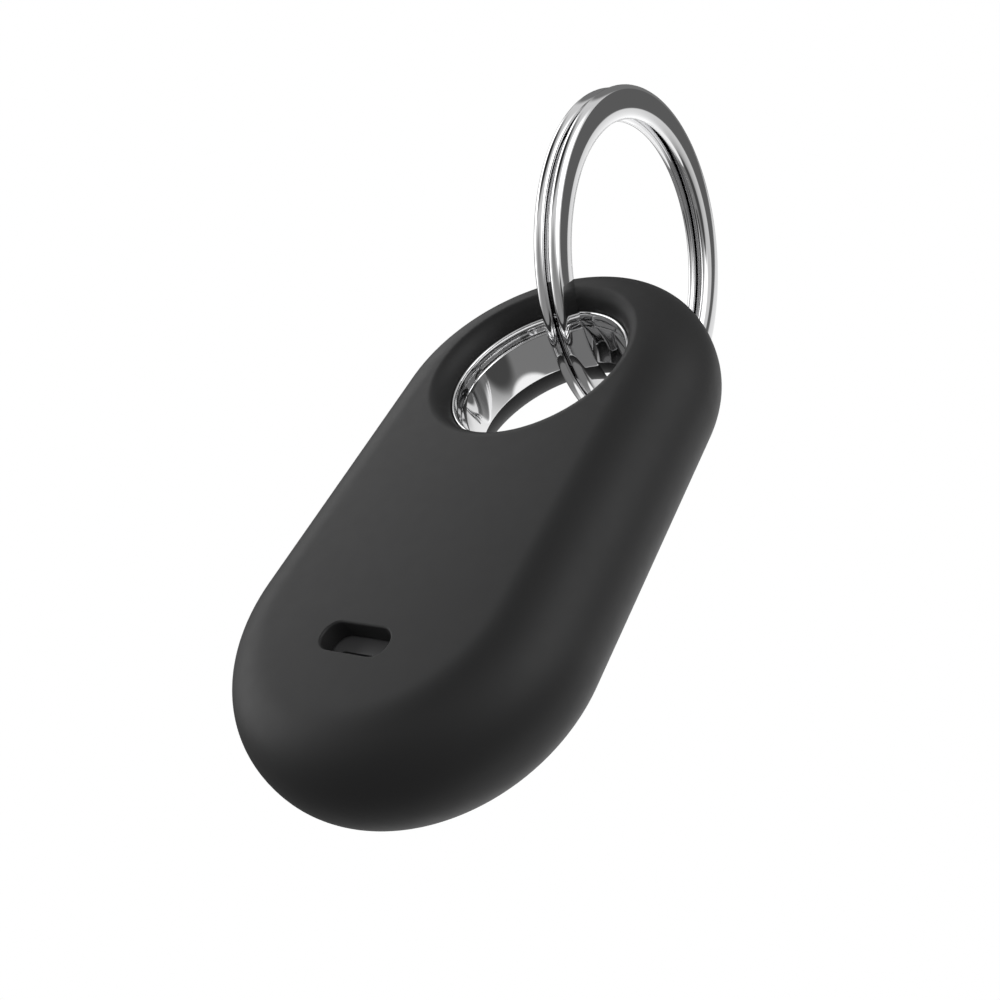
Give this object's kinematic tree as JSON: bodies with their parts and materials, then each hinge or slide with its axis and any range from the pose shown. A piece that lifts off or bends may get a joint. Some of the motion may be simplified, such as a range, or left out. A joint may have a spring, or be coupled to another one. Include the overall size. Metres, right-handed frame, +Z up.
{
  "type": "bluetooth tracker tag",
  "caption": "Capsule-shaped bluetooth tracker tag in a soft silicone sleeve, with a metal-lined hole that hangs on a split ring.",
  "frame": {"origin": "the point inside the top of the split ring where a hook or key holds it", "axes": "+Z up along the tag's length, towards the ring; +X along the tag's width, to the right seen from the front; -Y out of the front face, which has the sound slot"},
  "size_m": [0.032, 0.035, 0.0824],
  "materials": {
    "silicone": "matte, soft to the touch",
    "chrome": "mirror polished",
    "black_plastic": "fine moulded grain",
    "grey_plastic": "moulded",
    "seal_rubber": "matte",
    "steel": "satin",
    "brass": "satin",
    "gold_plate": "plated",
    "copper": "bare copper film",
    "board_green": "solder mask",
    "chip_black": "moulded epoxy",
    "ceramic": "fired ceramic"
  },
  "bodies": {
    "ring": {"split_ring": "chrome"},
    "tag": {"silicone_sleeve": "silicone", "ring_liner": "chrome", "front_shell": "black_plastic", "rear_shell": "black_plastic", "shell_gasket": "seal_rubber", "coin_cell_can": "steel", "coin_cell_seal": "grey_plastic", "coin_cell_cap": "steel", "negative_contact": "gold_plate", "positive_contact": "gold_plate", "circuit_board": "board_green", "mid_frame": "grey_plastic", "screw_left": "steel", "screw_right": "steel", "screw_bottom": "steel", "switch_base": "grey_plastic", "switch_dome": "steel", "radio_chip": "chip_black", "crystal": "steel", "power_capacitor": "brass", "bluetooth_antenna": "ceramic", "locating_antenna": "copper", "locating_chip": "chip_black", "shield_can": "steel", "nfc_coil": "copper", "sound_mesh": "steel", "sounder_gasket": "seal_rubber", "sounder_disc": "brass", "sounder_ceramic": "ceramic"},
    "button": {"front_button": "black_plastic"},
    "cover": {"battery_cover": "black_plastic", "cover_seal": "seal_rubber"}
  },
  "joints": [
    {"name": "ring_turn", "type": "hinge", "parent": "ring", "child": "tag", "pos_m": [0, 0, -0.01425], "axis": [1, 0, 0], "continuous": true},
    {"name": "button_press", "type": "slide", "parent": "tag", "child": "button", "axis": [0, 1, 0], "range_m": [0, 0.0003], "stiffness_N_per_m": 500, "springref_m": -0.001},
    {"name": "cover_turn", "type": "hinge", "parent": "tag", "child": "cover", "pos_m": [0, 0.0045, -0.06255], "axis": [0, 1, 0], "range_deg": [0, 25]}
  ]
}
